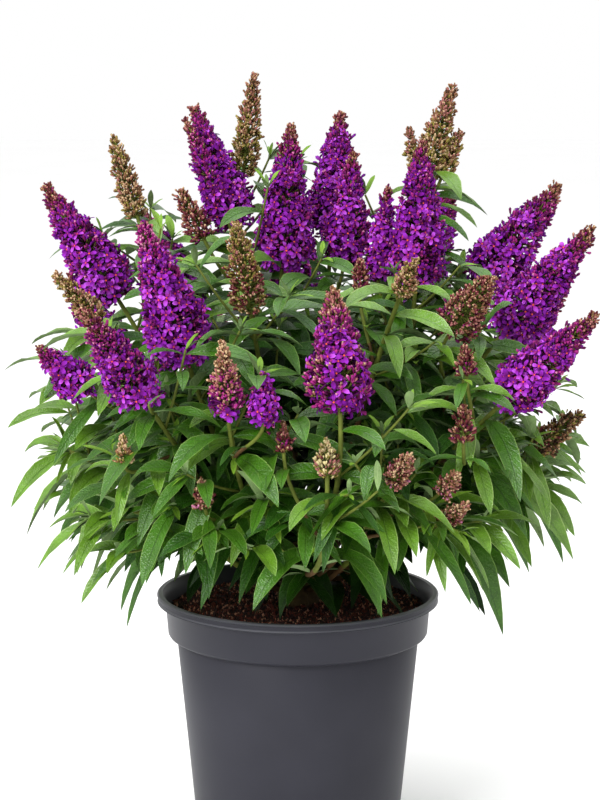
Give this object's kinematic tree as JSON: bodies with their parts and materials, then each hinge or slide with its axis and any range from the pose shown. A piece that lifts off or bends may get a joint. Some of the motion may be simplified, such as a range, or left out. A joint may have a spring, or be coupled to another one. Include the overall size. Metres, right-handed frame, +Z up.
{
  "type": "butterfly bush in a nursery pot",
  "caption": "Young butterfly bush in flower in its round nursery pot, with arching leafy stems that end in tapering purple flower spikes over a dome of drooping leaves.",
  "frame": {"origin": "centre of the pot's flat underside", "axes": "+Z straight up the pot's axis, -Y towards the side with the most flower spikes, +X to the right of it"},
  "size_m": [0.4822, 0.5032, 0.6251],
  "materials": {
    "pot": "matte injection-moulded plastic, anthracite grey",
    "soil": "crumbly bark and peat compost, dark red brown",
    "bark": "thin stringy bark, grey brown, turning green up the stem",
    "foliage": "leaves with a dull sheen above and pale felt below"
  },
  "bodies": {
    "root": {"bough_back": "bark", "bough_back_high": "bark", "bough_back_left": "bark", "bough_back_left_high": "bark", "bough_back_right": "bark", "bough_centre": "bark", "bough_front": "bark", "bough_front_left": "bark", "bough_left": "bark", "bough_left_front": "bark", "bough_left_high": "bark", "bough_middle_left": "bark", "bough_middle_right": "bark", "bough_right": "bark", "bough_right_front": "bark", "bough_right_high": "bark", "bough_right_low": "bark", "bough_top": "bark", "bough_top_left": "bark", "bough_top_right": "bark", "foliage_back": "foliage", "foliage_back_high": "foliage", "foliage_back_left": "foliage", "foliage_back_left_high": "foliage", "foliage_back_low": "foliage", "foliage_back_low_left": "foliage", "foliage_back_low_right": "foliage", "foliage_back_right": "foliage", "foliage_centre": "foliage", "foliage_front": "foliage", "foliage_front_left": "foliage", "foliage_front_low": "foliage", "foliage_front_low_left": "foliage", "foliage_front_low_right": "foliage", "foliage_leafy_back": "foliage", "foliage_leafy_front_left": "foliage", "foliage_leafy_front_right": "foliage", "foliage_leafy_left": "foliage", "foliage_leafy_left_back": "foliage", "foliage_leafy_left_low": "foliage", "foliage_leafy_left_side": "foliage", "foliage_leafy_right": "foliage", "foliage_leafy_right_back": "foliage", "foliage_left": "foliage", "foliage_left_front": "foliage", "foliage_left_high": "foliage", "foliage_middle_left": "foliage", "foliage_middle_right": "foliage", "foliage_right": "foliage", "foliage_right_back_low": "foliage", "foliage_right_front": "foliage", "foliage_right_high": "foliage", "foliage_right_low": "foliage", "foliage_right_side": "foliage", "foliage_top": "foliage", "foliage_top_left": "foliage", "foliage_top_right": "foliage", "foot": "bark", "pot": "pot", "soil": "soil"}
  },
  "joints": []
}
